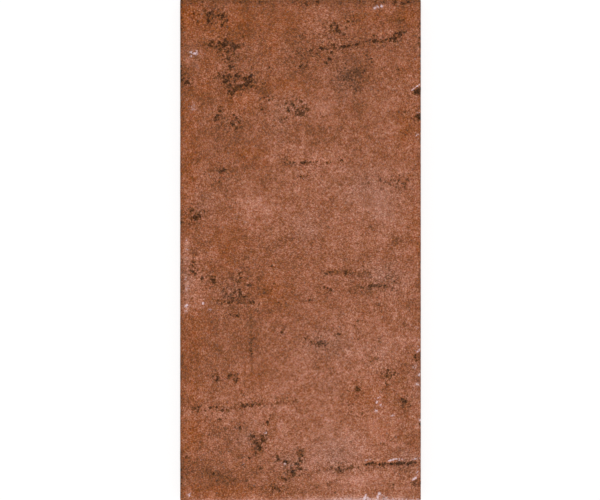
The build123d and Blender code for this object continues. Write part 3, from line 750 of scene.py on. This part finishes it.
# Each noise with its depth in millimetres
face_relief = ((roll, 0.10), (lump, 0.07), (crumb, 0.05), (sand, 0.035))
rough = sum(depth * bumps for bumps, depth in face_relief)
pitted = scorch * (swarm_depth + pit_depth * crumb * sand) + grain_depth * char
uneven_width = margin_width * (margin_least + margin_spread * lump)
margin = np.clip(1 - depth_inside / uneven_width, 0, 1)
pillow = np.where(on_grid, margin_drop / MM * margin**margin_curve, 0.0)
place[:, 2] -= (pillow + (rough + sunk + pitted) * face_share) * MM
print(f"face now between {place[on_grid, 2].min() / MM:.2f} and {place[on_grid, 2].max() / MM:.2f} mm")

# %% Roughen the sides, inwards only, and leave the back edge straight
side_relief = ((lump, 0.07), (crumb, 0.06), (sand, 0.04))
outward = np.empty(count * 3)
tile_mesh.vertices.foreach_get("normal", outward)
outward = outward.reshape(-1, 3)[:, :2]
above_back = np.clip(place[:, 2] / back_chamfer, 0, 1) * ~on_grid
side_rough = sum(depth * bumps for bumps, depth in side_relief) * above_back
place[:, :2] -= outward * side_rough[:, None] * MM
print(f"sides roughened by up to {side_rough.max():.2f} mm")

# %% [markdown]
# ## Chipped edge
# Bits have broken out of the right-hand edge. In the CAD solid a ball is cut away at each place. Here every
# vertex that lies inside such a ball is pushed back onto the ball's skin, which leaves the same hollow with
# the mesh still closed. A little noise on the ball's radius gives the broken surface its crumbly look.

# %% Push vertices out of the chips
# Each chip: from the far end, reach in over the face, drop down the side and radius of the ball, in millimetres
chips = [
    (45.5, 4.4, 1.5, 4.6), (58.5, 2.9, 1.2, 3.2), (69.0, 2.0, 1.0, 3.0), (177.5, 3.4, 1.3, 3.8),
    (240.5, 3.6, 1.3, 3.4),
]
chip_lip = 0.3 * MM
crumbly = 0.07 * crumb + 0.05 * sand

chipped = np.zeros(count)
for from_far_end, reach, drop, radius in chips:
    chord = math.hypot(reach, drop)
    stand_off = math.sqrt(radius**2 - (chord / 2) ** 2)
    centre = MM * np.array([
        half_width / MM - reach / 2 + stand_off * drop / chord,
        half_length / MM - from_far_end,
        face_height / MM - drop / 2 + stand_off * reach / chord,
    ])
    ray = place - centre
    distance = np.linalg.norm(ray, axis=1)
    skin = radius * MM * (1 - crumbly)
    inside = distance < skin
    place[inside] = centre + ray[inside] * (skin / distance)[inside, None]
    chipped = np.maximum(chipped, np.clip((skin - distance) / chip_lip, 0, 1))
place[:, 0] = np.minimum(place[:, 0], half_width)
place[:, 2] = np.minimum(place[:, 2], face_height)
print(f"{len(chips)} chips, {np.count_nonzero(chipped)} vertices pushed back")

# %% [markdown]
# ## Values for the material
# A shader can't see lists of marks, but it can read a number that is kept on each vertex. The edges get painted
# shade and light first: the far, left and right edges a little darker and the near edge a little paler, as
# margin and arris look with the light from the near end. The face's skin of sand and ash also runs over the
# arris and down the sides for a few millimetres, so its share fades there, and the material gives it a ragged
# border.

# %% Painted shade and light along the edges, and the skin that runs over them
# Each edge: how far the vertices are from it, how far its painted shade or light reaches in, and by how many
# brightness steps
# Painted shade along the far, left and right edges and painted light along the near edge, where margin and
# arris turn from or towards the light
painted_edge_shading = [
    (half_length - place[:, 1], 2.9 * MM, -22),
    (place[:, 0] + half_width, 1.8 * MM, -22),
    (half_width - place[:, 0], 1.3 * MM, -12),
    (place[:, 1] + half_length, 1.2 * MM, 12),
]
skin_at_arris = 0.8
skin_run = 3.5 * MM
bed_tolerance = 0.05 * MM

edge_shade_and_light_tone = np.zeros(count)
for from_edge, reach, steps in painted_edge_shading:
    edge_shade_and_light_tone += steps * brightness_step * np.exp(-((from_edge / reach) ** 2))
run_over = np.clip(skin_at_arris * (1 - (arris_foot - place[:, 2]) / skin_run), 0, 1)
face_share = np.maximum.reduce([face_share, run_over * ~on_grid, chipped])
bedding = (place[:, 2] < bed_tolerance).astype(float)
print(f"skin on {np.mean(face_share > 0) * 100:.0f}% of the vertices, {bedding.sum():.0f} on the bedding plane")

# %% Store the new places and the values that the material reads
scorch_curve = 0.6
rim_tone = 0.05
# Chipped places are painted darker: painted shade in the chip hollows
chip_hollow_shade = -22 * brightness_step
marks = {
    "face": face_share,
    "scorch": scorch**scorch_curve * face_share,
    "tone": (tone + edge_shade_and_light_tone + rim_tone * rim) * face_share + chip_hollow_shade * chipped,
    "char": char * face_share,
    "crack": crack * face_share,
    "pink": pink * face_share,
    "sandy": sandy,
    "lime": lime * face_share,
    "bedding": bedding,
}
tile_mesh.vertices.foreach_set("co", place.ravel())
for name, values in marks.items():
    layer = tile_mesh.attributes.get(name) or tile_mesh.attributes.new(name, "FLOAT", "POINT")
    layer.data.foreach_set("value", values.astype(np.float32))
tile_mesh.update()
print("stored:", ", ".join(marks))

# %% Smooth shading, with the back's pocket rims kept crisp
crisp_angle = math.radians(40)
shaded = bmesh.new()
shaded.from_mesh(tile_mesh)
for face in shaded.faces:
    face.smooth = True
for edge in shaded.edges:
    edge.smooth = edge.calc_face_angle(0) < crisp_angle
print(f"{sum(1 for edge in shaded.edges if not edge.smooth)} crisp edges")
shaded.to_mesh(tile_mesh)
shaded.free()

# %% [markdown]
# ## The fired clay
# Nearly every colour on this tile lies on one line, from charred brown through brick red to pinkish white.
# So the material first builds a single brightness value out of noise at several sizes, the stains, the
# scorch specks and the burnt grains, and then one Color Ramp turns that value into clay colours. A painted
# image could do the same, but noise in Object coordinates needs no unwrapping and stays sharp close up.

# %% Helpers for wiring a material
def linear(red, green, blue):
    """A colour as it looks on screen, 0 to 255, as the linear values that Blender's shaders work in."""
    screen = np.array([red, green, blue]) / 255
    return (*np.where(screen <= 0.04045, screen / 12.92, ((screen + 0.055) / 1.055) ** 2.4), 1.0)


fired_clay = bpy.data.materials.new("fired_clay")
fired_clay.use_nodes = True
tree = fired_clay.node_tree
tree.nodes.clear()


def plug(socket, value):
    """Wire a socket to an input, or set the input to a plain number or colour."""
    if isinstance(value, bpy.types.NodeSocket):
        tree.links.new(value, socket)
    else:
        socket.default_value = value


def add(kind, **values):
    """A new node with a value for each of the inputs named."""
    node = tree.nodes.new(kind)
    for name, value in values.items():
        plug(node.inputs[name.replace("_", " ")], value)
    return node


def combine(node, *values):
    """Fill a node's inputs in their order; the first output's socket."""
    for socket, value in zip(node.inputs, values):
        plug(socket, value)
    return node.outputs[0]


def calculate(operation, *values):
    """A Math node on numbers or sockets; the result's socket."""
    node = tree.nodes.new("ShaderNodeMath")
    node.operation = operation
    return combine(node, *values)


def add_share(total, value, share):
    """The total plus that share of the value."""
    return calculate("MULTIPLY_ADD", value, share, total)


def smooth_step(value, start, end, low=0.0, high=1.0):
    """Ease from `low` to `high` while the value runs from `start` to `end`."""
    node = add("ShaderNodeMapRange", Value=value, From_Min=start, From_Max=end, To_Min=low, To_Max=high)
    node.interpolation_type = "SMOOTHSTEP"
    return node.outputs["Result"]


print(f"an empty material, {fired_clay.name}, and its helpers")

# %% One brightness value from noise at several sizes
mid_brightness = 150 / 255
on_tile = tree.nodes.new("ShaderNodeTexCoord").outputs["Object"]


def attribute(name):
    """One of the values kept on the vertices."""
    node = tree.nodes.new("ShaderNodeAttribute")
    node.attribute_name = name
    return node.outputs["Fac"]


def clay_noise(size, detail, roughness, distortion=0.0):
    """Noise with lumps of about that size in metres; 0 to 1, mostly near a half."""
    node = add(
        "ShaderNodeTexNoise",
        Vector=on_tile,
        Scale=1 / size,
        Detail=detail,
        Roughness=roughness,
        Distortion=distortion,
    )
    return node.outputs["Fac"]


def centred(noise_value):
    """Noise that goes both ways from zero."""
    return calculate("SUBTRACT", noise_value, 0.5)


fine_grain = clay_noise(0.5 * MM, detail=2.0, roughness=0.6)
coarse_grain = clay_noise(1.0 * MM, detail=1.0, roughness=0.6)
small_patches = clay_noise(2.4 * MM, detail=2.0, roughness=0.5)
wide_patches = clay_noise(8 * MM, detail=2.0, roughness=0.5)

grain = 0.0
for noise_value, weight in ((fine_grain, 0.395), (coarse_grain, 0.38)):
    grain = add_share(grain, centred(noise_value), weight)
# The tone value carries the stains, and also the painted shade and light along the edges and the painted shade
# in the chips
brightness = add_share(calculate("ADD", attribute("tone"), mid_brightness), grain, attribute("sandy"))
for noise_value, weight in ((small_patches, 0.20), (wide_patches, 0.26)):
    brightness = add_share(brightness, centred(noise_value), weight)
print(f"brightness of the bare clay from {len(tree.nodes)} nodes")

# %% [markdown]
# Specks are noise that is cut off at a threshold: adding the swarm's density to the noise lets more of it
# over the threshold, so a dense swarm has more and larger specks. Burnt grains and the dashes in furrows are
# made ragged in the same way. Pale grains of sand lie everywhere and need no density.

# %% Specks, burnt grains and dashes
swarm_push = 0.27
speck_tone = -0.18
pale_tone = 0.10
ragged_share = 0.6
least_burnt, most_burnt = -0.08, -0.18
# The furrows' crack value and dashes darken them: partly scorch, partly painted shade
furrow_shade_tone = -0.08
dash_grain = 1.8
dash_tone = -0.30

speck_noise = clay_noise(0.9 * MM, detail=2.0, roughness=0.6)
specks = smooth_step(add_share(speck_noise, attribute("scorch"), swarm_push), start=0.66, end=0.74)
pale_noise = clay_noise(0.9 * MM, detail=1.0, roughness=0.6, distortion=0.4)
pale_specks = smooth_step(pale_noise, start=0.62, end=0.78)
# The burnt grains beside the chips darken their hollows as painted shade
rag_noise = clay_noise(0.6 * MM, detail=2.0, roughness=0.6)
charred = smooth_step(add_share(attribute("char"), rag_noise, ragged_share), start=0.48, end=0.76)
burnt_tone = add_share(least_burnt, attribute("char"), most_burnt)
dash_noise = clay_noise(0.9 * MM, detail=2.0, roughness=0.7)
dashes = smooth_step(add_share(attribute("crack"), dash_noise, dash_grain), start=1.25, end=1.65)
for mark, strength in (
    (specks, speck_tone),
    (pale_specks, pale_tone),
    (charred, burnt_tone),
    (attribute("crack"), furrow_shade_tone),
    (dashes, dash_tone),
):
    brightness = add_share(brightness, mark, strength)
print(f"brightness with its marks from {len(tree.nodes)} nodes")

# %% The ramp of clay colours, and lime crumbs and painted lip highlights over it
# Each colour lies on the ramp at its own red value
clay_colours = [
    (57, 33, 19), (84, 53, 34), (113, 71, 48), (135, 81, 55), (150, 93, 67), (165, 107, 83), (180, 121, 100),
    (206, 147, 128),
]
# One pale colour for lime crumbs and for the painted highlights on the lips
lime_and_highlight_colour = linear(224, 196, 200)
lime_push = 0.7
lime_cover = 0.9
COLOUR_A, COLOUR_B, COLOUR_RESULT = 6, 7, 2


def mix_colours(factor, base, top):
    """The base colour, with the top colour over it where the factor is 1."""
    node = add("ShaderNodeMix", Factor=factor)
    node.data_type = "RGBA"
    plug(node.inputs[COLOUR_A], base)
    plug(node.inputs[COLOUR_B], top)
    return node.outputs[COLOUR_RESULT]


ramp = add("ShaderNodeValToRGB", Fac=brightness)
stops = ramp.color_ramp.elements
stops.remove(stops[1])
stops[0].position = clay_colours[0][0] / 255
stops[0].color = linear(*clay_colours[0])
for colour in clay_colours[1:]:
    stops.new(colour[0] / 255).color = linear(*colour)

crumb_noise = clay_noise(0.9 * MM, detail=2.0, roughness=0.6)
pale_or_lit = add_share(crumb_noise, attribute("lime"), lime_push)
crumbs = smooth_step(pale_or_lit, start=0.68, end=1.0, high=lime_cover)
face_colour = mix_colours(crumbs, ramp.outputs["Color"], lime_and_highlight_colour)
print(f"{len(stops)} clay colours, from {clay_colours[0]} to {clay_colours[-1]}")

# %% [markdown]
# Below the skin the sides and the back show the bare body: the same clay, plainer and browner, with open
# pores and with flashes of paler clay. The ribs on the back carry a chalky kiln wash, which keeps a tile from
# sticking to the kiln shelf. The face's skin ends on the sides along a border that noise makes ragged.

# %% The bare body, its pores, the kiln wash and the skin's ragged border
dark_body = linear(138, 84, 58)
pale_body = linear(178, 118, 90)
pore_colour = linear(86, 50, 34)
wash_colour = linear(206, 186, 170)
flash_share = 1.2
border_share = 0.9
border_grain = 0.5

body_grain = clay_noise(1.4 * MM, detail=3.0, roughness=0.6)
flash = clay_noise(16 * MM, detail=2.0, roughness=0.5)
body = mix_colours(add_share(body_grain, centred(flash), flash_share), dark_body, pale_body)
pore_noise = clay_noise(1.1 * MM, detail=1.0, roughness=0.5)
pored = mix_colours(smooth_step(pore_noise, start=0.70, end=0.76, high=0.75), body, pore_colour)
wash_noise = clay_noise(9 * MM, detail=4.0, roughness=0.6)
on_ribs = calculate("MULTIPLY", attribute("bedding"), wash_noise)
washed = mix_colours(smooth_step(on_ribs, start=0.42, end=0.62, high=0.55), pored, wash_colour)
border_noise = clay_noise(6 * MM, detail=3.0, roughness=0.6)
ragged = add_share(attribute("face"), centred(border_noise), border_share)
ragged = add_share(ragged, centred(body_grain), border_grain)
clay_colour = mix_colours(smooth_step(ragged, start=0.30, end=0.52), washed, face_colour)
print(f"face and body together from {len(tree.nodes)} nodes")

# %% [markdown]
# Real clay is a little pinker here and more orange there from zone to zone, and its hue turns a little from
# grain to grain. A Hue/Saturation node does both at once. Fired clay is matt, so the shader is rough with
# hardly any shine, and a fine bump stands for sand that is too small for the mesh.

# %% Tint from zones and grains, then the shader
mean_saturation = 1.025
pink_fade = -2.8
pale_fade = -0.14
even_hue = 0.5
grain_hue = 0.052

hue_noise = clay_noise(0.8 * MM, detail=3.0, roughness=0.7)
saturation = add_share(mean_saturation, attribute("pink"), pink_fade)
saturation = add_share(saturation, pale_specks, pale_fade)
for noise_value, weight in ((hue_noise, 0.60), (fine_grain, 0.05), (coarse_grain, 0.05)):
    saturation = add_share(saturation, centred(noise_value), weight)
hue = add_share(even_hue, centred(clay_noise(0.5 * MM, detail=1.0, roughness=0.6)), grain_hue)
tint = add(
    "ShaderNodeHueSaturation", Hue=hue, Saturation=saturation, Value=1.0, Fac=1.0, Color=clay_colour
)
bump_noise = clay_noise(0.7 * MM, detail=3.0, roughness=0.6)
bump = add("ShaderNodeBump", Strength=0.35, Distance=0.15 * MM, Height=bump_noise)
shader = add(
    "ShaderNodeBsdfPrincipled",
    Base_Color=tint.outputs["Color"],
    Roughness=smooth_step(bump_noise, start=0.3, end=0.7, low=0.78, high=0.95),
    Normal=bump.outputs["Normal"],
    Specular_IOR_Level=0.10,
)
add("ShaderNodeOutputMaterial", Surface=shader.outputs["BSDF"])
tile_mesh.materials.append(fired_clay)
print(f"fired clay: {len(tree.nodes)} nodes")

# %% Hand the piece to the frame
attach(fired_tile, "root")
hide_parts("floor_tile")
print(f"{fired_tile.name} takes the place of floor_tile, in the material slot fired_clay")

# %% [markdown]
# ## Floor, light and camera
# The tile lies on a plain pale floor. It is a little lower than the tile, so that the two planes don't fight,
# and it has a hole under the tile and a clear underside, so that the back can be looked at from below. To the
# camera the floor glows nearly white but still takes the shadow, as a studio sweep does.

# %% A pale floor with a hole under the tile
floor_reach = 3.0
under_tile = 1.2 * MM
floor_drop = 0.1 * MM
sheet = bmesh.new()
bmesh.ops.create_grid(
    sheet, x_segments=3, y_segments=3, size=floor_reach, matrix=Matrix.Translation((0, 0, -floor_drop))
)
for vert in sheet.verts:
    if abs(vert.co.x) < floor_reach / 2:
        vert.co.x = math.copysign(half_width - under_tile, vert.co.x)
    if abs(vert.co.y) < floor_reach / 2:
        vert.co.y = math.copysign(half_length - under_tile, vert.co.y)
hidden = min(sheet.faces, key=lambda face: face.calc_center_median().length)
bmesh.ops.delete(sheet, geom=[hidden], context="FACES_ONLY")
floor_mesh = bpy.data.meshes.new("studio_floor")
sheet.to_mesh(floor_mesh)
sheet.free()
floor = bpy.data.objects.new("studio_floor", floor_mesh)
bpy.context.scene.collection.objects.link(floor)
print(f"floor of {len(floor_mesh.polygons)} faces, {floor_drop / MM:.1f} mm below the tile")

# %% Nearly white to the camera, clear from below
pale_floor = bpy.data.materials.new("pale_floor")
pale_floor.use_nodes = True
tree = pale_floor.node_tree
tree.nodes.clear()


def seen_by(*kinds):
    """1 for rays of these kinds, 0 for all others."""
    path = tree.nodes.new("ShaderNodeLightPath")
    seen = 0.0
    for kind in kinds:
        seen = calculate("MAXIMUM", seen, path.outputs[kind])
    return seen


def mix_shaders(factor, first, second):
    """The first shader where the factor is 0, the second where it is 1."""
    return combine(tree.nodes.new("ShaderNodeMixShader"), factor, first, second)


plain = add("ShaderNodeBsdfDiffuse", Color=(0.8, 0.8, 0.8, 1.0)).outputs["BSDF"]
shade = add("ShaderNodeBsdfDiffuse", Color=(0.35, 0.35, 0.35, 1.0)).outputs["BSDF"]
glow = add("ShaderNodeEmission", Color=(1.0, 1.0, 1.0, 1.0), Strength=0.68).outputs["Emission"]
lit = combine(tree.nodes.new("ShaderNodeAddShader"), shade, glow)
upper = mix_shaders(seen_by("Is Camera Ray", "Is Glossy Ray", "Is Transmission Ray"), plain, lit)
underside = tree.nodes.new("ShaderNodeNewGeometry").outputs["Backfacing"]
clear = tree.nodes.new("ShaderNodeBsdfTransparent").outputs["BSDF"]
add("ShaderNodeOutputMaterial", Surface=mix_shaders(underside, upper, clear))
floor_mesh.materials.append(pale_floor)
print(f"pale floor: {len(tree.nodes)} nodes")

# %% [markdown]
# Low light from the near end picks out the relief, and an even white surround fills the rest. Together they
# add up to one, so a colour renders about as it is written. The camera looks straight down from far away, as
# the photograph does, so its long lens leaves no perspective to speak of.

# %% An even surround, and low light from the near end
surround_share = 0.50
light_height = math.radians(38)

surround = bpy.data.worlds.new("surround")
surround.use_nodes = True
bpy.context.scene.world = surround
tree = surround.node_tree
tree.nodes.clear()
strength = add_share(surround_share, seen_by("Is Camera Ray", "Is Transmission Ray"), 1 - surround_share)
backdrop = add("ShaderNodeBackground", Color=(1.0, 1.0, 1.0, 1.0), Strength=strength)
add("ShaderNodeOutputWorld", Surface=backdrop.outputs["Background"])

near_light = bpy.data.lights.new("near_light", "SUN")
near_light.energy = (1 - surround_share) * math.pi / math.sin(light_height)
near_light.angle = math.radians(12)
lamp = bpy.data.objects.new("near_light", near_light)
lamp.rotation_euler = (math.radians(90) - light_height, 0.0, 0.0)
bpy.context.scene.collection.objects.link(lamp)
print(f"surround {surround_share:.2f}, sun {near_light.energy:.2f} at {math.degrees(light_height):.0f} degrees")

# %% A long lens, straight above the face
frame_width = 298.6 * MM
camera_height = 1.6
camera_shift = -0.25 * MM
lens_camera = bpy.data.cameras.new("over_the_tile")
lens_camera.sensor_width = 36.0
lens_camera.lens = lens_camera.sensor_width * camera_height / frame_width
lens_camera.clip_end = 20.0
camera = bpy.data.objects.new("over_the_tile", lens_camera)
camera.location = (camera_shift, 0.0, face_height + camera_height)
bpy.context.scene.collection.objects.link(camera)
bpy.context.scene.camera = camera
bpy.context.scene.view_settings.view_transform = "Standard"
print(f"lens {lens_camera.lens:.0f} mm, {camera_height:.1f} m above the face")
